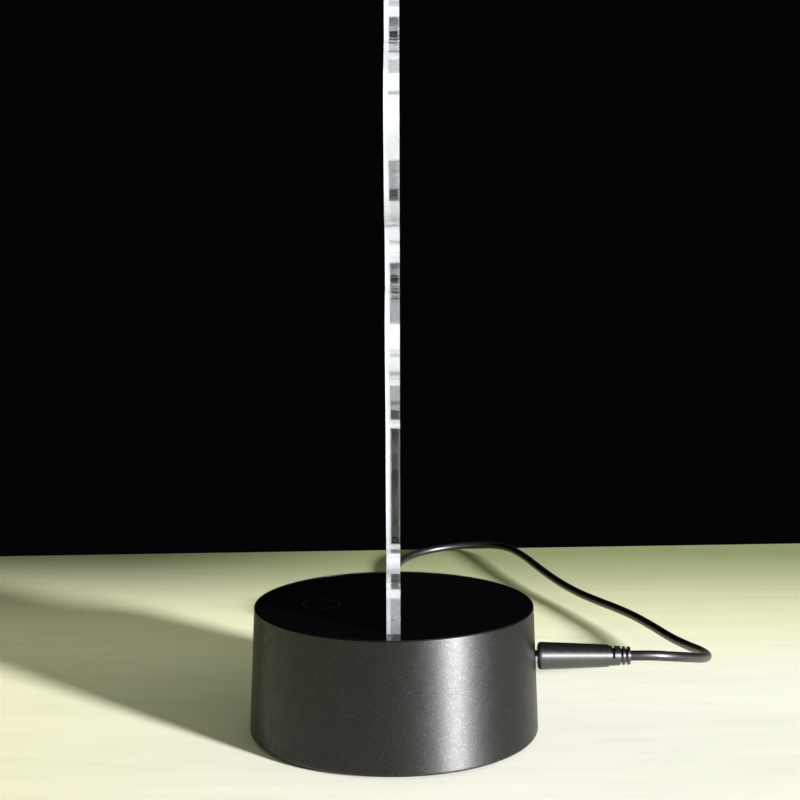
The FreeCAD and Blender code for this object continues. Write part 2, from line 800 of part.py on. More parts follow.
def strain_relief(radius, end_radius, length, grooves, place, direction):
    """Tapered sleeve, closed round the cord's end. Its first groove is cut from above, the rest all round."""
    start, way = Vector(*place), Vector(*direction)
    sleeve = Part.makeCone(radius, end_radius, length, start, way)
    cuts = []
    for k, along in enumerate(grooves):
        where = start + way * (along - relief_groove_width / 2)
        core = radius + (end_radius - radius) * along / length - relief_groove_depth
        ring_cut = ring(radius + 1, core, relief_groove_width, where, way)
        if k == 0:
            low, high = where - Vector(radius, radius, 0) * 2, where + Vector(radius, radius, radius) * 2
            ring_cut = ring_cut.common(block(low.x, high.x, low.y, high.y, start.z, high.z))
        cuts.append(ring_cut)
    return sleeve.cut(cuts)


def usb_grip():
    """Moulded grip of the USB plug."""
    x1 = usb_start_x - usb_relief_length
    x0 = x1 - usb_grip_length
    half = usb_grip_width / 2
    grip = rounded_block(
        x0, x1, usb_y - half, usb_y + half, 0, usb_grip_height, usb_grip_round, "X"
    )
    pocket = block(
        x0, x0 + usb_shell_buried, usb_y - usb_shell_width / 2, usb_y + usb_shell_width / 2,
        usb_z - usb_shell_height / 2, usb_z + usb_shell_height / 2,
    )
    return grip.cut(pocket)


def usb_mouth():
    """Both ends of the USB shell along X."""
    inner = usb_start_x - usb_relief_length - usb_grip_length + usb_shell_buried
    return inner - usb_shell_length - usb_shell_buried, inner


def usb_shell():
    """Folded metal shell with the two square latch windows on each wide side."""
    x0, x1 = usb_mouth()
    half_y, half_z = usb_shell_width / 2, usb_shell_height / 2
    wall = usb_shell_wall
    outer = block(x0, x1, usb_y - half_y, usb_y + half_y, usb_z - half_z, usb_z + half_z)
    inner = block(
        x0, x1, usb_y - half_y + wall, usb_y + half_y - wall, usb_z - half_z + wall, usb_z + half_z - wall
    )
    start, half = x0 + usb_window_start, usb_window_width / 2
    windows = []
    for y in (usb_y - usb_window_offset, usb_y + usb_window_offset):
        windows.append(
            block(start, start + usb_window_length, y - half, y + half, usb_z - half_z, usb_z + half_z)
        )
    return outer.cut([inner] + windows)


def usb_tongue():
    """Insulating tongue in the lower half of the shell, with its rear block."""
    x0, x1 = usb_mouth()
    half_y = usb_shell_width / 2 - usb_shell_wall
    low = usb_z - usb_shell_height / 2 + usb_shell_wall
    high = usb_z + usb_shell_height / 2 - usb_shell_wall
    tongue = block(x0 + usb_tongue_setback, x1, usb_y - half_y, usb_y + half_y, low, low + usb_tongue_height)
    rear = block(x0 + usb_rear_block_start, x1, usb_y - half_y, usb_y + half_y, low, high)
    return joined([tongue, rear])


def usb_contacts():
    """Flat contacts on the tongue, the outer two longer."""
    x0 = usb_mouth()[0]
    low = usb_z - usb_shell_height / 2 + usb_shell_wall + usb_tongue_height
    strips = []
    for k, start in enumerate(usb_contact_starts):
        y = usb_y + (k - (len(usb_contact_starts) - 1) / 2) * usb_contact_pitch
        y0, y1 = y - usb_contact_width / 2, y + usb_contact_width / 2
        strips.append(block(x0 + start, x0 + usb_rear_block_start, y0, y1, low, low + usb_contact_thickness))
    return Part.makeCompound(strips)


def on_plate(along, across, y=0.0):
    """Point of the guitar's own axes in the part's frame."""
    x = guitar_x + along * math.sin(lean) + across * math.cos(lean)
    z = guitar_z + along * math.cos(lean) - across * math.sin(lean)
    return Vector(x, y, z)


def body_outline(grow=0.0, shrink=1.0):
    """Closed chain of arcs round the guitar's body, moved outwards or drawn in towards its middle."""
    around = body_side + [(a, -w) for a, w in reversed(body_side[1:])]
    points = []
    for k, (a, w) in enumerate(around):
        before, after = around[k - 1], around[(k + 1) % len(around)]
        da, dw = after[0] - before[0], after[1] - before[1]
        size = math.hypot(da, dw)
        along, across = a - grow * dw / size, w + grow * da / size
        points.append(on_plate(body_middle + (along - body_middle) * shrink, across * shrink))
    edges = []
    for k, point in enumerate(points):
        following = points[(k + 1) % len(points)]
        way = (following - points[k - 1]).normalize()
        next_way = (points[(k + 2) % len(points)] - point).normalize()
        edges += biarc(point, way, following, next_way)
    return Part.Wire(edges)


def slab(wire, y0, y1):
    """Flat solid inside a wire that lies in the XZ plane."""
    face = Part.Face(wire.translated(Vector(0, y0, 0)))
    return face.extrude(Vector(0, y1 - y0, 0))


def polygon(corners):
    """Closed wire through points of the guitar's axes."""
    points = [on_plate(a, w) for a, w in corners]
    return Part.makePolygon(points + points[:1])


def turn_between(way, next_way):
    """Positive where the second direction is to the left of the first, seen from the front."""
    return way.x * next_way.z - way.z * next_way.x


def spans_of(wire):
    """Lines and arcs of an outline in order: start, end, an arc's centre or None, and 1 if it runs left."""
    spans = []
    for edge in wire.OrderedEdges:
        ends = [edge.valueAt(edge.FirstParameter), edge.valueAt(edge.LastParameter)]
        if edge.Orientation == "Reversed":
            ends.reverse()
        start, end = ends
        if isinstance(edge.Curve, Part.Circle):
            middle = edge.valueAt((edge.FirstParameter + edge.LastParameter) / 2)
            way_round = 1 if turn_between(middle - start, end - middle) > 0 else -1
            spans.append((start, end, edge.Curve.Center, way_round))
        else:
            spans.append((start, end, None, 0))
    return spans


def heading(span, at):
    """Direction of travel at a point of a span."""
    start, end, centre, way_round = span
    if centre is None:
        return (end - start).normalize()
    spoke = (at - centre).normalize() * way_round
    return Vector(-spoke.z, 0, spoke.x)


def swept_angle(span, point):
    """Angle round an arc from its start to a point."""
    start, end, centre, way_round = span
    a, b = start - centre, point - centre
    angle = math.atan2(turn_between(a, b), a.dot(b)) * way_round
    return angle if angle > -1e-9 else angle + 2 * math.pi


def touching_point(span, place):
    """Point of a span that is nearest to a place, or None where the span ends before it."""
    start, end, centre, way_round = span
    if centre is None:
        way = heading(span, start)
        along = (place - start).dot(way)
        return start + way * along if -1e-9 < along < (end - start).Length + 1e-9 else None
    point = centre + (place - centre).normalize() * (start - centre).Length
    return point if swept_angle(span, point) < swept_angle(span, end) + 1e-9 else None


def round_centres(span, following, radius, side):
    """Centres of the circles of that radius that touch both spans, on their left (1) or their right (-1)."""
    if span[2] is None and following[2] is not None:
        span, following = following, span
    start, end, centre, way_round = following
    if centre is None:
        way = heading(following, start)
        root = start + Vector(-way.z, 0, way.x) * side * radius
        if span[2] is None:
            other = heading(span, span[0])
            crossing = turn_between(way, other)
            if abs(crossing) < 1e-9:
                return []
            other_root = span[0] + Vector(-other.z, 0, other.x) * side * radius
            return [root + way * (turn_between(other_root - root, other) / crossing)]
        reach = (span[0] - span[2]).Length - side * span[3] * radius
        foot = root + way * (span[2] - root).dot(way)
        square = reach**2 - (foot - span[2]).Length ** 2
        if reach <= 0 or square < 0:
            return []
        return [foot - way * math.sqrt(square), foot + way * math.sqrt(square)]
    reach = (span[0] - span[2]).Length - side * span[3] * radius
    other_reach = (start - centre).Length - side * way_round * radius
    gap = centre - span[2]
    if reach <= 0 or other_reach <= 0 or gap.Length < 1e-9:
        return []
    along = (reach**2 - other_reach**2 + gap.dot(gap)) / (2 * gap.Length)
    if reach**2 < along**2:
        return []
    across = Vector(-gap.z, 0, gap.x).normalize() * math.sqrt(reach**2 - along**2)
    foot = span[2] + gap.normalize() * along
    return [foot - across, foot + across]


def rounded_outline(wire, radius_at):
    """The outline with every corner rounded. A round may take in short lines and arcs beside its corner."""
    spans = spans_of(wire)
    while True:
        turns = []
        for before, span in zip(spans[-1:] + spans, spans):
            turns.append(turn_between(heading(before, span[0]), heading(span, span[0])))
        corners = [k for k, turn in enumerate(turns) if abs(turn) > corner_turn]
        if not corners:
            return Part.Wire([span_edge(span) for span in spans])
        first = corners[0]
        side = 1 if turns[first] > 0 else -1
        spans = spans[first:] + spans[:first]
        spans = with_round(spans, radius_at(spans[0][0]), side)


def with_round(spans, radius, side):
    """The outline with a round between its last span and its first, or between spans a little further off."""
    corner = spans[0][0]
    for skipped in range(len(spans) - 1):
        found = []
        for ahead in range(skipped + 1):
            behind = len(spans) - 1 - (skipped - ahead)
            for centre in round_centres(spans[behind], spans[ahead], radius, side):
                leave, enter = touching_point(spans[behind], centre), touching_point(spans[ahead], centre)
                if leave is not None and enter is not None:
                    found.append(((centre - corner).Length, ahead, behind, leave, enter, centre))
        if found:
            reach, ahead, behind, leave, enter, centre = min(found, key=lambda item: item[0])
            start = (enter, *spans[ahead][1:])
            end = (spans[behind][0], leave, *spans[behind][2:])
            return [start] + spans[ahead + 1:behind] + [end, (leave, enter, centre, side)]
    raise ValueError("no room for a round of " + str(radius) + " mm")


def span_edge(span):
    """The edge of a span."""
    start, end, centre, way_round = span
    if centre is None:
        return Part.LineSegment(start, end).toShape()
    half = swept_angle(span, end) / 2 * way_round
    spoke = start - centre
    middle = centre + spoke * math.cos(half) + Vector(-spoke.z, 0, spoke.x) * math.sin(half)
    return Part.Arc(start, middle, end).toShape()


def tab_round(corner):
    """Round of the tab's corner at a point."""
    return tab_foot_round if corner.z < tab_bottom + tab_foot_round else tab_shoulder_round


def plate_outline():
    """Outline of the clear plate: tab, guitar with its margin, headstock lobe and note lobe."""
    half = tab_length / 2
    corners = [(-half, tab_bottom), (half, tab_bottom), (half, tab_shoulder_z), (-half, tab_shoulder_z)]
    tab = Part.makePolygon([Vector(x, 0, z) for x, z in corners + corners[:1]])
    neck_half = neck_heel_half_width + plate_margin
    neck_top = neck_end + neck_overlap
    neck = polygon([
        (neck_start, -neck_half), (neck_start, neck_half), (neck_top, neck_half), (neck_top, -neck_half)
    ])
    lobe = polygon([
        (head_lobe_start, -head_lobe_half_width), (head_lobe_start, head_lobe_half_width),
        (head_lobe_end, head_lobe_half_width), (head_lobe_end, -head_lobe_half_width),
    ])
    lobe_round = min(head_lobe_round, lobe_round_share * (head_lobe_end - head_lobe_start))
    note = Part.Wire([Part.makeCircle(note_lobe_radius, Vector(note_x, 0, note_z), Vector(0, -1, 0))])
    outlines = [
        body_outline(plate_margin), neck, rounded_outline(lobe, lambda corner: lobe_round),
        rounded_outline(tab, tab_round), note,
    ]
    whole = joined([Part.Face(outline) for outline in outlines])
    return whole.Faces[0].OuterWire


def acrylic_plate():
    """Clear plate with rounded corners and the engraved lines."""
    outline = rounded_outline(plate_outline(), lambda corner: outline_fillet)
    return slab(outline, -plate_thickness / 2, plate_thickness / 2).cut(engraving())


def engraved(wire):
    """Shallow cut into the plate's front face inside a wire."""
    front = -plate_thickness / 2
    return slab(wire, front - cutter_margin, front + groove_depth)


def groove_ring(outer, inner):
    """Engraved line between two closed wires."""
    return engraved(outer).cut(engraved(inner))


def groove_line(start, end, width):
    """Engraved straight line between two points of the guitar's axes."""
    along, across = end[0] - start[0], end[1] - start[1]
    size = math.hypot(along, across)
    da, dw = -across / size * width / 2, along / size * width / 2
    corners = [
        (start[0] + da, start[1] + dw), (end[0] + da, end[1] + dw),
        (end[0] - da, end[1] - dw), (start[0] - da, start[1] - dw),
    ]
    return engraved(polygon(corners))


def dot(along, across, radius):
    """Engraved disc."""
    place = on_plate(along, across, -plate_thickness / 2 - cutter_margin)
    return Part.makeCylinder(radius, groove_depth + cutter_margin, place, Vector(0, 1, 0))


def dot_ring(along, across, radius, width):
    """Engraved circle."""
    return dot(along, across, radius).cut(dot(along, across, radius - width))


def frame_ring(a0, a1, half, width):
    """Engraved rectangle outline round the guitar's axis."""
    outer = polygon([(a0, -half), (a0, half), (a1, half), (a1, -half)])
    inner = polygon([
        (a0 + width, -half + width), (a0 + width, half - width),
        (a1 - width, half - width), (a1 - width, -half + width),
    ])
    return groove_ring(outer, inner)


def head_outline(inset):
    """Headstock outline, drawn in by an inset."""
    base, tip = head_base_half_width - inset, head_tip_half_width - inset
    start, end = neck_end + inset, neck_end + head_length - inset
    return polygon([
        (start, -neck_nut_half_width + inset), (start + head_shoulder, -base),
        (end - head_tip_corner, -tip), (end, -tip + head_tip_corner),
        (end, tip - head_tip_corner), (end - head_tip_corner, tip),
        (start + head_shoulder, base), (start, neck_nut_half_width - inset),
    ])


def engraving():
    """All the engraved lines of the guitar and the note."""
    half = groove_width / 2
    lines = [groove_ring(body_outline(half), body_outline(-half))]
    for shrink in contour_shares:
        lines.append(groove_ring(body_outline(half, shrink), body_outline(-half, shrink)))
    lines.append(groove_ring(head_outline(0.0), head_outline(groove_width)))
    for side in (-1, 1):
        lines.append(groove_line(
            (neck_start, side * neck_heel_half_width), (neck_end - groove_width, side * neck_nut_half_width),
            groove_width,
        ))
        across = side * (head_base_half_width + tuner_reach)
        for k in range(tuner_count):
            lines.append(dot_ring(neck_end + tuner_start + tuner_pitch * k, across, tuner_radius, tuner_line))
    for start, length in pickup_frames:
        lines.append(frame_ring(start, start + length, pickup_half_width, pickup_line))
    for along, across in knob_places:
        lines.append(dot_ring(along, across, knob_radius, knob_line))
        lines.append(dot(along, across, knob_dot_radius))
    for k in range(1, fret_count + 1):
        along = neck_end - (neck_end - bridge_along) * (1 - 0.5 ** (k / 12))
        across = neck_half_at(along) - groove_width / 2 - fret_edge_gap
        lines.append(groove_line((along, -across), (along, across), fret_groove_width))
    lines += note_lines()
    return lines


def neck_half_at(along):
    """Half width of the drawn neck at a distance along the guitar."""
    share = (along - neck_start) / (neck_end - neck_start)
    return neck_heel_half_width + (neck_nut_half_width - neck_heel_half_width) * share


def note_lines():
    """Engraved note: a leaning oval head, a stem and a flag."""
    centre = Vector(note_x + note_head_place[0], 0, note_z + note_head_place[1])
    head = Part.Ellipse(centre, *note_head_radii)
    head.Axis = Vector(0, -1, 0)
    oval = engraved(Part.Wire([head.toShape()])).rotated(centre, Vector(0, 1, 0), -note_head_lean)
    x0, x1, z0, z1 = note_stem
    shapes = [oval]
    for outline in ([(x0, z0), (x1, z0), (x1, z1), (x0, z1)], note_flag):
        corners = [Vector(note_x + x, 0, note_z + z) for x, z in outline]
        shapes.append(engraved(Part.makePolygon(corners + corners[:1])))
    return shapes


NODES = {
    "base_shell": base_shell,
    "top_plate": top_plate,
    "plate_holder": plate_holder,
    "holder_screws": lambda: screws(ear_screw, ear_places, web_bottom - ear_boss_height - ear_thickness),
    "acrylic_plate": acrylic_plate,
    "light_board": light_board,
    "lights": lights,
    "light_board_screws": lambda: screws(light_screw, light_screw_places, light_board_bottom),
    "control_board": control_board,
    "control_chip": lambda: chip(*control_chip),
    "touch_chip": lambda: chip(*touch_chip),
    "driver_transistors": lambda: Part.makeCompound([chip(*sizes) for sizes in driver_transistors]),
    "chip_resistors": chip_resistors,
    "supply_capacitor": supply_capacitor,
    "touch_pad": touch_pad,
    "touch_wire": touch_wire,
    "board_wires": board_wires,
    "jack_body": jack_body,
    "jack_pin": jack_pin,
    "jack_contact": jack_contact,
    "board_screws": lambda: screws(board_screw, board_screw_places, board_bottom),
    "bottom_cover": bottom_cover,
    "cover_screws": lambda: screws(cover_screw, cover_screw_places, cover_base_height + cover_recess_depth),
    "base_pad": base_pad,
    "plug_sleeve": lambda: plug_tube(barrel_radius, barrel_radius - barrel_sleeve_wall),
    "plug_liner": lambda: plug_tube(
        barrel_radius - barrel_sleeve_wall, barrel_radius - barrel_sleeve_wall - barrel_liner_wall
    ),
    "plug_contact": lambda: plug_tube(
        barrel_radius - barrel_sleeve_wall - barrel_liner_wall,
        barrel_radius - barrel_sleeve_wall - barrel_liner_wall - barrel_contact_wall, 0.3,
    ),
    "plug_grip": plug_grip,
    "plug_strain_relief": lambda: strain_relief(
        relief_radius, relief_end_radius, relief_length, relief_grooves, (0, grip_end_y, jack_z), (0, 1, 0)
    ),
    "supply_cord": lambda: tube(cord_route, cord_radius, "supply cord"),
    "cord_coil": cord_coil,
    "cord_tail": lambda: tube(tail_route, cord_radius, "cord tail"),
    "coil_tie": coil_tie,
    "usb_strain_relief": lambda: strain_relief(
        relief_end_radius, usb_relief_radius, usb_relief_length, usb_relief_grooves,
        (usb_start_x, usb_y, usb_z), (-1, 0, 0),
    ),
    "usb_grip": usb_grip,
    "usb_shell": usb_shell,
    "usb_tongue": usb_tongue,
    "usb_contacts": usb_contacts,
}

for name, make in NODES.items():
    shape = make()
    print(name, "solids", len(shape.Solids), "valid", shape.isValid(), "volume", round(shape.Volume, 1))
    shape.exportStep("parts/" + name + ".step")
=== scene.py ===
import bpy
import json
import math
from mathutils import Matrix, Vector


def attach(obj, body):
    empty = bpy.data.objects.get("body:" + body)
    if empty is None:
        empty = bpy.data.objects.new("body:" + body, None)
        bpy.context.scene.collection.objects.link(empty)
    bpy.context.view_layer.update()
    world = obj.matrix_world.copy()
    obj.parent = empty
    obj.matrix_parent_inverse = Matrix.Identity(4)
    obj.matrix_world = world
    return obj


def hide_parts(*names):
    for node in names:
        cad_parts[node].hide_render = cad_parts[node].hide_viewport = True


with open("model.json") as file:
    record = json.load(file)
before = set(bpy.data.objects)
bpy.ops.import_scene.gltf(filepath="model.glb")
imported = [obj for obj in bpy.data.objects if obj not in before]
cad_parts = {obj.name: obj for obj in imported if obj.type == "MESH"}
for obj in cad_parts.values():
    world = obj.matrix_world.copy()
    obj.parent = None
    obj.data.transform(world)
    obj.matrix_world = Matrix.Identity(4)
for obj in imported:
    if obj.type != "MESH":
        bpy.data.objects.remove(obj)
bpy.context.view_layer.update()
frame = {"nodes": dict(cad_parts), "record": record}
nodes = frame["nodes"]

# Metres. The camera looks along -X, +Y is to the right in the photograph, Z is up.

# Camera
CAMERA_PLACE = Vector((0.45756, 0.002025, 0.157826))
CAMERA_TILT = 0.11645
CAMERA_ROLL = -0.00185
CAMERA_SENSOR = 36.0
CAMERA_LENS = 67.397
CAMERA_NEAR = 0.01

# Supply lead
CORD_RADIUS = 0.0016
CORD_ROUND_STEPS = 6
CORD_LONG_STEPS = 10
COIL_X = -0.084
COIL_START_RADIUS = 0.021
COIL_PITCH = 0.00365
COIL_HALF_TURNS = 5
COIL_POINTS_PER_HALF_TURN = 8
COIL_LOW_Z = 0.00232
COIL_HIGH_Z = 0.00597
LEAD_ROUTE = [
    (0.0, 0.07416, 0.0234),
    (0.0, 0.0806, 0.0235),
    (-0.0024, 0.0874, 0.0224),
    (-0.0086, 0.0942, 0.0203),
    (-0.0172, 0.0998, 0.0175),
    (-0.0279, 0.104, 0.0146),
    (-0.04, 0.1067, 0.0118),
    (-0.053, 0.1072, 0.0095),
    (-0.0663, 0.1052, 0.0075),
    (-0.081, 0.1017, 0.0064),
    (-0.097, 0.0979, 0.0062),
    (-0.1115, 0.0934, 0.0063),
    (-0.125, 0.0883, 0.006),
    (-0.139, 0.0822, 0.0055),
    (-0.1545, 0.0756, 0.0053),
    (-0.173, 0.0694, 0.0056),
    (-0.195, 0.0639, 0.006),
    (-0.219, 0.059, 0.0063),
    (-0.24, 0.053, 0.006),
    (-0.2503, 0.0425, 0.005),
    (-0.2514, 0.027, 0.0038),
    (-0.2455, 0.013, 0.0027),
    (-0.2315, 0.0025, 0.002),
    (-0.212, -0.0005, 0.0016),
    (-0.184, 0.002, 0.0016),
    (-0.156, 0.0085, 0.0016),
    (-0.13, 0.017, 0.0018),
    (-0.106, 0.021, 0.00232),
]
TAIL_ROUTE = [
    (-0.0905, -0.021, 0.00597),
    (-0.0985, -0.021, 0.0044),
    (-0.105, -0.021, 0.0044),
]

# Clear plate, along Y: from the engraved face at -0.002 to the plain one at 0.002
GROOVE_STARTS = (-0.00197, -0.00193)
GROOVE_ENDS = (-0.0015, -0.0013)
PAINTED_LIGHT_BAND_ENDS = (-0.0009, -0.0005)
PAINTED_HIGHLIGHT_RIM_STARTS = (0.0014, 0.0017)

# Frosting on the plate's edge, which paints light on it: from which value to which, and the frosting at both
PAINTED_LIGHT_BAND_BY_HEIGHT = (0.095, 0.11, 0.26, 0.33)
PAINTED_HIGHLIGHT_RIM_BY_HEIGHT = (0.13, 0.16, 0.05, 0.12)
SAW_FROST_AND_PAINTED_LIGHT_BY_NOISE = (0.3, 0.42, 0.13, 0.33)
SCRATCHES_BY_NOISE = (0.4, 0.7, 0.0, 0.03)

# Heights of the plate's edge left clear, between the bands of painted light made by the saw-cut frosting:
# from, to, share
STRETCH_SOFTNESS = 0.0008
STRETCHES_WITHOUT_PAINTED_LIGHT = [
    (0.0395, 0.0511, 0.65),
    (0.0530, 0.0582, 1.0),
    (0.0626, 0.0647, 0.8),
    (0.0658, 0.1018, 1.0),
    (0.1034, 0.1144, 0.95),
    (0.1166, 0.1186, 0.7),
    (0.1311, 0.1480, 1.0),
    (0.1497, 0.1509, 1.0),
    (0.1517, 0.1541, 0.6),
    (0.1635, 0.1744, 0.95),
    (0.1895, 0.1912, 0.7),
    (0.1951, 0.2000, 0.7),
    (0.2012, 0.2122, 1.0),
    (0.2142, 0.2165, 0.6),
]

# Touch key printed on the top plate
TOUCH_Y = -0.0227
TOUCH_RING_RADIUS = 0.0057
TOUCH_RING_WIDTH = 0.0004

# Floor slab: its rear edge is slanted as the table's edge is
FLOOR_REAR_LEFT = (-0.2484, -0.18815)
FLOOR_REAR_RIGHT = (-0.2740, 0.1987)
FLOOR_HALF_WIDTH = 1.6
FLOOR_FRONT_X = 1.6
FLOOR_THICKNESS = 0.025

# Floor colours, the wood's pale colour with painted light: paler at the front right, darker towards the rear
# and the rear left as painted shade, and where one turns into the next along X or Y
WOOD_WITH_PAINTED_LIGHT_FRONT_LEFT = (0.82, 0.8, 0.57)
WOOD_WITH_PAINTED_LIGHT_FRONT_RIGHT = (0.91, 0.9, 0.82)
WOOD_WITH_PAINTED_LIGHT_MIDDLE = (0.86, 0.85, 0.6)
WOOD_WITH_PAINTED_SHADE_REAR_LEFT = (0.06, 0.075, 0.03)
WOOD_WITH_PAINTED_SHADE_REAR_RIGHT = (0.26, 0.3, 0.15)
FRONT_TURNS_Y = (-0.16, 0.04)
REAR_TURNS_Y = (-0.14, 0.04)
REAR_TURNS_X = (-0.27, -0.095)
MIDDLE_TURNS_X = (-0.15, -0.02)

# Grain of the floor: how it is drawn out, and how it shades the wood
WOOD_STRETCH = (3.0, 0.35, 1.0)
GRAIN_SHADE = (0.94, 1.0)
FINE_SHADE = (0.35, 0.8, 0.02, -0.03)

# Light: the lamp's angles in degrees, from the camera's line and from the floor
KEY_AZIMUTH = 49.0
KEY_ELEVATION = 12.0
KEY_SPREAD = 6.5
KEY_STRENGTH = 12.6
KEY_COLOUR = (0.99, 0.98, 1.0)
AMBIENT_COLOUR = (0.94, 1.0, 0.7, 1.0)
AMBIENT_STRENGTH = 0.25
DARK_COLOUR = (0.6, 0.7, 1.0, 1.0)
DARK_STRENGTH = 0.002

# Shared by the finishes: stretches of a noise's values, a quarter turn and a micrometre
NOISE_MIDDLE = (0.3, 0.7)
NOISE_BROAD = (0.25, 0.75)
QUARTER_TURN = 0.25
MICROMETRE = 0.000001

# Plain finishes: darker and paler colour, grains per metre, roughness, bump in micrometres, metallic, gloss
PLAIN_FINISHES = {
    "black_plastic": ((0.008, 0.008, 0.009), (0.014, 0.014, 0.015), 1500.0, (0.36, 0.44), 8.0, 0.0, 0.8),
    "white_plastic": ((0.80, 0.80, 0.78), (0.86, 0.86, 0.84), 500.0, (0.4, 0.5), 10.0, 0.0, 0.5),
    "foam": ((0.012, 0.012, 0.012), (0.045, 0.045, 0.045), 1400.0, (0.85, 0.98), 120.0, 0.0, 0.5),
    "screw_steel": ((0.55, 0.55, 0.56), (0.66, 0.66, 0.67), 1200.0, (0.25, 0.4), 10.0, 1.0, 0.5),
    "board_green": ((0.012, 0.13, 0.05), (0.02, 0.17, 0.075), 300.0, (0.3, 0.42), 10.0, 0.0, 0.5),
    "light_package": ((0.86, 0.83, 0.6), (0.92, 0.9, 0.75), 600.0, (0.3, 0.4), 10.0, 0.0, 0.5),
    "chip_black": ((0.014, 0.014, 0.015), (0.026, 0.026, 0.027), 1800.0, (0.5, 0.6), 10.0, 0.0, 0.5),
    "capacitor_can": ((0.68, 0.68, 0.69), (0.78, 0.78, 0.79), 900.0, (0.2, 0.3), 10.0, 1.0, 0.5),
    "copper_foil": ((0.72, 0.38, 0.22), (0.85, 0.48, 0.3), 350.0, (0.25, 0.4), 10.0, 1.0, 0.5),
    "wire_red": ((0.45, 0.02, 0.02), (0.58, 0.035, 0.03), 700.0, (0.35, 0.45), 10.0, 0.0, 0.5),
    "wire_white": ((0.76, 0.76, 0.74), (0.84, 0.84, 0.82), 700.0, (0.35, 0.45), 10.0, 0.0, 0.5),
    "plated_contact": ((0.68, 0.68, 0.67), (0.8, 0.8, 0.79), 900.0, (0.15, 0.28), 6.0, 1.0, 0.5),
    "gold_contact": ((0.8, 0.58, 0.24), (0.88, 0.66, 0.3), 900.0, (0.18, 0.28), 6.0, 1.0, 0.5),
    "cord_black": ((0.003, 0.003, 0.0035), (0.006, 0.006, 0.0065), 1600.0, (0.36, 0.43), 4.0, 0.0, 0.8),
    "tie_black": ((0.012, 0.012, 0.012), (0.024, 0.024, 0.024), 1100.0, (0.45, 0.6), 20.0, 0.0, 0.5),
}


def make_camera():
    """Camera at the photograph's viewing angle."""
    forward = Vector((-math.cos(CAMERA_TILT), 0.0, -math.sin(CAMERA_TILT)))
    right = Vector((0.0, 1.0, 0.0))
    up = Vector((-math.sin(CAMERA_TILT), 0.0, math.cos(CAMERA_TILT)))
    cos_roll = math.cos(CAMERA_ROLL)
    sin_roll = math.sin(CAMERA_ROLL)
    rolled_right = cos_roll * right + sin_roll * up
    rolled_up = cos_roll * up - sin_roll * right
    data = bpy.data.cameras.new("camera")
    data.sensor_width = CAMERA_SENSOR
    data.lens = CAMERA_LENS
    data.clip_start = CAMERA_NEAR
    camera = bpy.data.objects.new("camera", data)
    rotation = Matrix((rolled_right, rolled_up, -forward)).transposed().to_4x4()
    camera.matrix_world = Matrix.Translation(CAMERA_PLACE) @ rotation
    bpy.context.scene.collection.objects.link(camera)
    bpy.context.scene.camera = camera


def coil_points():
    """Control points of the put-away turns: in along the lower layer, up, and out along the upper one."""
    points = []
    half_turns = 2 * COIL_HALF_TURNS + 1
    for step in range(half_turns * COIL_POINTS_PER_HALF_TURN + 1):
        turned = step / COIL_POINTS_PER_HALF_TURN
        climbed = min(max(turned - COIL_HALF_TURNS, 0.0), 1.0)
        inward = min(turned, COIL_HALF_TURNS) - max(turned - COIL_HALF_TURNS - 1, 0.0)
        radius = COIL_START_RADIUS - COIL_PITCH / 2 * inward
        radius -= COIL_PITCH / 4 * math.sin(math.pi * climbed)
        angle = math.pi / 2 - math.pi * turned
        smooth = climbed * climbed * (3 - 2 * climbed)
        z = COIL_LOW_Z + (COIL_HIGH_Z - COIL_LOW_Z) * smooth
        points.append((COIL_X + radius * math.cos(angle), radius * math.sin(angle), z))
    return points


def make_cord(material):
    """The whole lead as one smooth line, from the strain relief to the USB plug."""
    points = LEAD_ROUTE + coil_points() + TAIL_ROUTE
    data = bpy.data.curves.new("supply_lead_cord", "CURVE")
    data.dimensions = "3D"
    data.bevel_depth = CORD_RADIUS
    data.bevel_resolution = CORD_ROUND_STEPS
    data.use_fill_caps = True
    data.resolution_u = CORD_LONG_STEPS
    spline = data.splines.new("NURBS")
    spline.points.add(len(points) - 1)
    for point, place in zip(spline.points, points):
        point.co = (*place, 1.0)
    spline.order_u = 3
    spline.use_endpoint_u = True
    cord = bpy.data.objects.new("supply_lead_cord", data)
    bpy.context.scene.collection.objects.link(cord)
    data.materials.append(material)
    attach(cord, "lead")
    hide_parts("supply_cord", "cord_coil", "cord_tail")


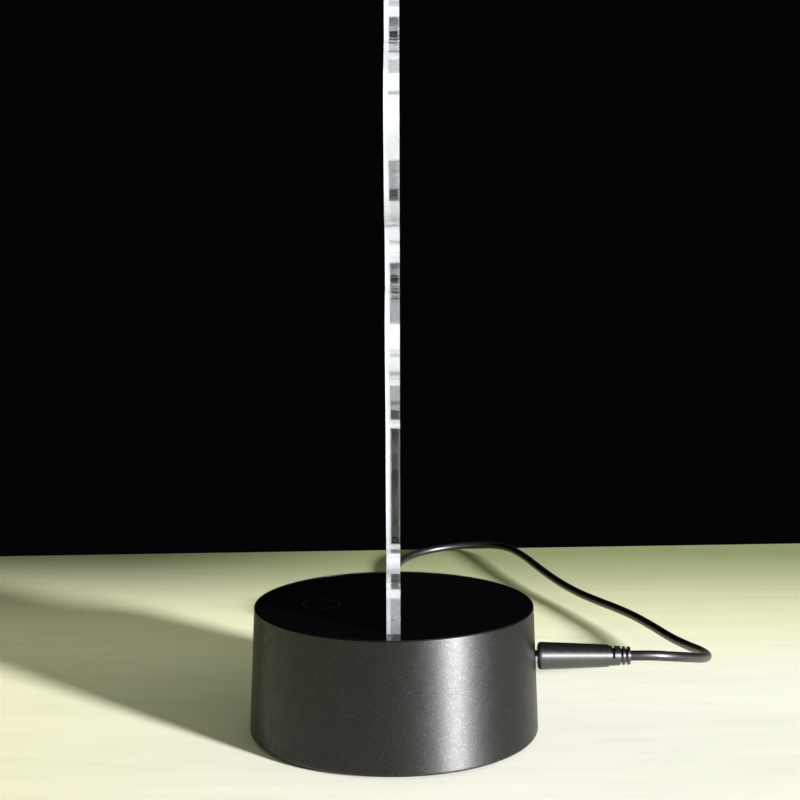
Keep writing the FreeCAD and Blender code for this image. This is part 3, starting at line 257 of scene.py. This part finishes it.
class Surface:
    """A material's node tree, with short calls for the nodes used here."""

    def __init__(self, name, **sockets):
        self.material = bpy.data.materials.new(name)
        self.material.use_nodes = True
        self.tree = self.material.node_tree
        self.shader = self.tree.nodes["Principled BSDF"]
        for socket, value in sockets.items():
            self.shader.inputs[socket.replace("_", " ")].default_value = value
        self.place = self.node("ShaderNodeTexCoord").outputs

    def node(self, kind, inputs=None, **settings):
        """A new node with its settings and inputs. An input is a value or another node's output."""
        made = self.tree.nodes.new(kind)
        for key, value in settings.items():
            setattr(made, key, value)
        for key, value in (inputs or {}).items():
            if isinstance(value, bpy.types.NodeSocket):
                self.tree.links.new(value, made.inputs[key])
            else:
                made.inputs[key].default_value = value
        return made

    def noise(self, per_metre, detail=3.0, roughness=0.55, stretch=(1.0, 1.0, 1.0)):
        """Noise in the object's own coordinates, from 0 to 1, at so many grains per metre."""
        mapping = self.node("ShaderNodeMapping", {"Vector": self.place["Object"], "Scale": stretch})
        inputs = {
            "Vector": mapping.outputs[0],
            "Scale": per_metre,
            "Detail": detail,
            "Roughness": roughness,
        }
        return self.node("ShaderNodeTexNoise", inputs).outputs[0]

    def math(self, operation, a, b=0.0):
        """A Math node's output."""
        return self.node("ShaderNodeMath", {0: a, 1: b}, operation=operation).outputs[0]

    def span(self, value, low, high, to_low=0.0, to_high=1.0):
        """value, mapped smoothly from one range to another and held at its ends."""
        inputs = {"Value": value, "From Min": low, "From Max": high, "To Min": to_low, "To Max": to_high}
        return self.node("ShaderNodeMapRange", inputs, interpolation_type="SMOOTHSTEP").outputs[0]

    def blend(self, share, a, b):
        """A mix of two colours."""
        mixed = self.node("ShaderNodeMix", {"Factor": share}, data_type="RGBA")
        for socket, value in ((mixed.inputs[6], a), (mixed.inputs[7], b)):
            if isinstance(value, bpy.types.NodeSocket):
                self.tree.links.new(value, socket)
            else:
                socket.default_value = (*value, 1.0)
        return mixed.outputs[2]

    def times(self, a, b):
        """The product of two values."""
        return self.math("MULTIPLY", a, b)

    def most(self, a, b):
        """The higher of two values."""
        return self.math("MAXIMUM", a, b)

    def rest_of(self, share):
        """What is left of 1."""
        return self.math("SUBTRACT", 1.0, share)

    def scaled(self, colour, factor):
        """A colour times a number."""
        inputs = {0: colour, "Scale": factor}
        return self.node("ShaderNodeVectorMath", inputs, operation="SCALE").outputs[0]

    def axis(self, source, index):
        """One axis of a vector output."""
        return self.node("ShaderNodeSeparateXYZ", {0: source}).outputs[index]

    def turned_about(self, axis):
        """Draws the highlight out across the marks of turning about one axis."""
        around = self.node("ShaderNodeTangent", direction_type="RADIAL", axis=axis)
        self.feed("Tangent", around.outputs[0])

    def bump(self, height, micrometres):
        """Bump on the shader's normal, with its height in micrometres."""
        inputs = {"Height": height, "Distance": micrometres * MICROMETRE}
        self.feed("Normal", self.node("ShaderNodeBump", inputs).outputs[0])

    def feed(self, socket, value):
        """Links an output to one of the shader's sockets."""
        self.tree.links.new(value, self.shader.inputs[socket])


def plain(name, darker, paler, grains, roughness, bump, metallic, gloss):
    """A solid finish whose colour, roughness and surface vary a little."""
    s = Surface(name, Metallic=metallic, Specular_IOR_Level=gloss)
    fine = s.noise(grains)
    s.feed("Base Color", s.blend(fine, darker, paler))
    s.feed("Roughness", s.span(s.noise(grains / 3), *NOISE_BROAD, *roughness))
    s.bump(fine, bump)
    return s.material


def shell_paint():
    """Satin metallic dark grey with a fine sparkling grain, drawn out upright by the turning."""
    darker = (0.05, 0.05, 0.0505)
    paler = (0.064, 0.064, 0.065)
    sparkle = (0.105, 0.105, 0.107)
    sparkle_starts = (0.5, 0.8)
    roughness = (0.42, 0.48)
    s = Surface("shell_paint", Metallic=1.0, Anisotropic=0.7, Anisotropic_Rotation=QUARTER_TURN)
    grain = s.noise(per_metre=2200.0, detail=2.0, roughness=0.6)
    paint = s.blend(s.noise(per_metre=160.0), darker, paler)
    s.feed("Base Color", s.blend(s.span(grain, *sparkle_starts), paint, sparkle))
    s.feed("Roughness", s.span(s.noise(per_metre=400.0), *NOISE_MIDDLE, *roughness))
    s.turned_about("Z")
    s.bump(grain, micrometres=5.0)
    return s.material


def black_grip():
    """Satin black moulding whose fine turned marks draw its highlight out along the plug."""
    darker = (0.003, 0.003, 0.0035)
    paler = (0.006, 0.006, 0.0065)
    roughness = (0.4, 0.46)
    s = Surface(
        "black_grip", Anisotropic=0.7, Anisotropic_Rotation=QUARTER_TURN,
        IOR=1.7, Specular_IOR_Level=1.0,
    )
    marks = s.noise(per_metre=900.0, stretch=(0.3, 1.0, 0.3))
    s.feed("Base Color", s.blend(marks, darker, paler))
    s.feed("Roughness", s.span(s.noise(per_metre=500.0), *NOISE_BROAD, *roughness))
    s.turned_about("Y")
    s.bump(marks, micrometres=5.0)
    return s.material


def black_gloss():
    """Gloss black with a faint ring printed round the touch key."""
    black = (0.0022, 0.0022, 0.0026)
    dust = (0.008, 0.008, 0.008)
    dust_starts = (0.62, 0.8)
    print_grey = (0.02, 0.02, 0.021)
    print_roughness = 0.25
    roughness = (0.06, 0.075)
    s = Surface("black_gloss")
    x = s.axis(s.place["Object"], 0)
    y = s.math("SUBTRACT", s.axis(s.place["Object"], 1), TOUCH_Y)
    away = s.math("SQRT", s.math("ADD", s.times(x, x), s.times(y, y)))
    off_ring = s.math("ABSOLUTE", s.math("SUBTRACT", away, TOUCH_RING_RADIUS))
    ring = s.span(off_ring, TOUCH_RING_WIDTH / 2, TOUCH_RING_WIDTH, 1.0, 0.0)
    dusty = s.blend(s.span(s.noise(per_metre=900.0, detail=4.0), *dust_starts), black, dust)
    s.feed("Base Color", s.blend(ring, dusty, print_grey))
    smooth = s.span(s.noise(per_metre=120.0), *NOISE_MIDDLE, *roughness)
    s.feed("Roughness", s.math("ADD", smooth, s.times(ring, print_roughness)))
    s.bump(s.noise(per_metre=25.0), micrometres=20.0)
    return s.material


def clear_acrylic():
    """Clear acrylic: faces with a high polish, frosted engraving and a saw-cut edge whose frosting paints
    bright bands of light by height, with a painted band of light by the engraved face and a painted
    highlight along the far rim.
    """
    clear = (0.95, 0.975, 1.0)
    frosted = (0.82, 0.9, 1.0)
    facing_the_edge = (0.3, 0.7, 1.0, 0.0)
    frost_opacity = 0.85
    frost_roughness = 0.4
    edge_roughness = 0.05
    s = Surface("clear_acrylic", IOR=1.49)
    y = s.axis(s.place["Object"], 1)
    height = s.axis(s.place["Object"], 2)
    edge = s.span(s.math("ABSOLUTE", s.axis(s.place["Normal"], 1)), *facing_the_edge)
    engraved = s.times(s.span(y, *GROOVE_STARTS), s.span(y, *GROOVE_ENDS, 1.0, 0.0))
    groove = s.times(engraved, s.rest_of(edge))
    saw = s.noise(per_metre=260.0, stretch=(1.0, 0.05, 1.0))
    # Painted light: the saw-cut frosting makes bright bands on the edge, and is left out at the listed
    # heights.
    without_painted_light = 0.0
    for low, high, share in STRETCHES_WITHOUT_PAINTED_LIGHT:
        above = s.span(height, low, low + STRETCH_SOFTNESS, 0.0, share)
        below = s.span(height, high - STRETCH_SOFTNESS, high, 1.0, 0.0)
        without_painted_light = s.most(without_painted_light, s.times(above, below))
    saw_frost_and_painted_light = s.times(s.rest_of(without_painted_light), s.span(saw, *SAW_FROST_AND_PAINTED_LIGHT_BY_NOISE))
    # Painted light: a frosted band on the edge by the engraved face, stronger higher up.
    painted_light_band = s.times(s.span(y, *PAINTED_LIGHT_BAND_ENDS, 1.0, 0.0), s.span(height, *PAINTED_LIGHT_BAND_BY_HEIGHT))
    # Painted highlight: a frosted rim on the edge by the plain face, stronger higher up.
    painted_highlight_rim = s.times(s.span(y, *PAINTED_HIGHLIGHT_RIM_STARTS), s.span(height, *PAINTED_HIGHLIGHT_RIM_BY_HEIGHT))
    scratches = s.span(saw, *SCRATCHES_BY_NOISE)
    edge_frost = s.times(edge, s.most(s.most(s.most(painted_light_band, saw_frost_and_painted_light), painted_highlight_rim), scratches))
    frost = s.math("MINIMUM", s.most(groove, edge_frost), 1.0)
    # The frosted colour is the real engraving's, and painted light where it stands on the edge.
    s.feed("Base Color", s.blend(frost, clear, frosted))
    s.feed("Transmission Weight", s.rest_of(s.times(frost, frost_opacity)))
    s.feed("Roughness", s.math("ADD", s.times(frost, frost_roughness), s.times(edge, edge_roughness)))
    s.bump(saw, micrometres=10.0)
    return s.material


def floor_wood_painted_light():
    """Pale wood without gloss, darker towards the rear and the left as painted shade, paler at the front
    right as painted light.
    """
    roughness = (0.75, 0.85)
    s = Surface("floor_wood_painted_light", Specular_IOR_Level=0.0)
    x = s.axis(s.place["Object"], 0)
    y = s.axis(s.place["Object"], 1)
    # Painted light and shade: paler where the lamp falls at the front right, darker with distance towards
    # the rear, and painted shadow at the rear left.
    front = s.blend(s.span(y, *FRONT_TURNS_Y), WOOD_WITH_PAINTED_LIGHT_FRONT_LEFT, WOOD_WITH_PAINTED_LIGHT_FRONT_RIGHT)
    rear = s.blend(s.span(y, *REAR_TURNS_Y), WOOD_WITH_PAINTED_SHADE_REAR_LEFT, WOOD_WITH_PAINTED_SHADE_REAR_RIGHT)
    middle = s.blend(s.span(x, *REAR_TURNS_X), rear, WOOD_WITH_PAINTED_LIGHT_MIDDLE)
    wood_and_painted_light = s.blend(s.span(x, *MIDDLE_TURNS_X), middle, front)
    grain = s.noise(per_metre=9.0, detail=6.0, stretch=WOOD_STRETCH)
    fine = s.noise(per_metre=60.0, detail=4.0, stretch=WOOD_STRETCH)
    shade = s.math("ADD", s.span(grain, *NOISE_MIDDLE, *GRAIN_SHADE), s.span(fine, *FINE_SHADE))
    s.feed("Base Color", s.scaled(wood_and_painted_light, shade))
    s.feed("Roughness", s.span(grain, *NOISE_MIDDLE, *roughness))
    s.bump(fine, micrometres=50.0)
    return s.material


def make_floor():
    """Wooden slab with a slanted rear edge."""
    rear_x, rear_y = FLOOR_REAR_LEFT
    slope = (FLOOR_REAR_RIGHT[0] - rear_x) / (FLOOR_REAR_RIGHT[1] - rear_y)
    outline = [
        (FLOOR_FRONT_X, FLOOR_HALF_WIDTH),
        (rear_x + slope * (FLOOR_HALF_WIDTH - rear_y), FLOOR_HALF_WIDTH),
        (rear_x + slope * (-FLOOR_HALF_WIDTH - rear_y), -FLOOR_HALF_WIDTH),
        (FLOOR_FRONT_X, -FLOOR_HALF_WIDTH),
    ]
    vertices = [(x, y, z) for z in (-FLOOR_THICKNESS, 0.0) for x, y in outline]
    faces = [(3, 2, 1, 0), (4, 5, 6, 7)]
    faces += [(i, (i + 1) % 4, (i + 1) % 4 + 4, i + 4) for i in range(4)]
    mesh = bpy.data.meshes.new("floor")
    mesh.from_pydata(vertices, [], faces)
    mesh.materials.append(floor_wood_painted_light())
    floor = bpy.data.objects.new("floor", mesh)
    bpy.context.scene.collection.objects.link(floor)


def make_key_light():
    """Soft light from far away, low on the right."""
    turn = math.radians(KEY_AZIMUTH)
    rise = math.radians(KEY_ELEVATION)
    away = Vector((math.cos(rise) * math.cos(turn), math.cos(rise) * math.sin(turn), math.sin(rise)))
    data = bpy.data.lights.new("key", "SUN")
    data.angle = math.radians(KEY_SPREAD)
    data.energy = KEY_STRENGTH
    data.color = KEY_COLOUR
    light = bpy.data.objects.new("key", data)
    light.location = away
    light.rotation_euler = (-away).to_track_quat("-Z", "Y").to_euler()
    bpy.context.scene.collection.objects.link(light)


def make_world():
    """Pale light on matt surfaces, nearly black to the eye, in reflections and through the plate."""
    world = bpy.data.worlds.new("studio")
    world.use_nodes = True
    tree = world.node_tree
    ambient = tree.nodes["Background"]
    ambient.inputs[0].default_value = AMBIENT_COLOUR
    ambient.inputs[1].default_value = AMBIENT_STRENGTH
    dark = tree.nodes.new("ShaderNodeBackground")
    dark.inputs[0].default_value = DARK_COLOUR
    dark.inputs[1].default_value = DARK_STRENGTH
    rays = tree.nodes.new("ShaderNodeLightPath").outputs
    dimmed = rays["Is Camera Ray"]
    for kind in ("Is Glossy Ray", "Is Transmission Ray"):
        either = tree.nodes.new("ShaderNodeMath")
        either.operation = "MAXIMUM"
        tree.links.new(dimmed, either.inputs[0])
        tree.links.new(rays[kind], either.inputs[1])
        dimmed = either.outputs[0]
    mixed = tree.nodes.new("ShaderNodeMixShader")
    tree.links.new(dimmed, mixed.inputs[0])
    tree.links.new(ambient.outputs[0], mixed.inputs[1])
    tree.links.new(dark.outputs[0], mixed.inputs[2])
    tree.links.new(mixed.outputs[0], tree.nodes["World Output"].inputs[0])
    bpy.context.scene.world = world


def paint_nodes(finishes):
    """Each CAD piece gets the finish of its slot, and the plug's grip and strain relief one of their own."""
    for part in frame["record"]["subparts"]:
        materials = nodes[part["node"]].data.materials
        materials.clear()
        materials.append(finishes[part["material_slot"]])
    grip_finish = black_grip()
    for name in ("plug_grip", "plug_strain_relief"):
        nodes[name].data.materials[0] = grip_finish


make_camera()
bpy.context.scene.view_settings.view_transform = "Standard"

finishes = {
    "shell_paint": shell_paint(),
    "black_gloss": black_gloss(),
    "clear_acrylic": clear_acrylic(),
}
for name, values in PLAIN_FINISHES.items():
    finishes[name] = plain(name, *values)

make_cord(finishes["cord_black"])
paint_nodes(finishes)
make_floor()
make_world()
make_key_light()
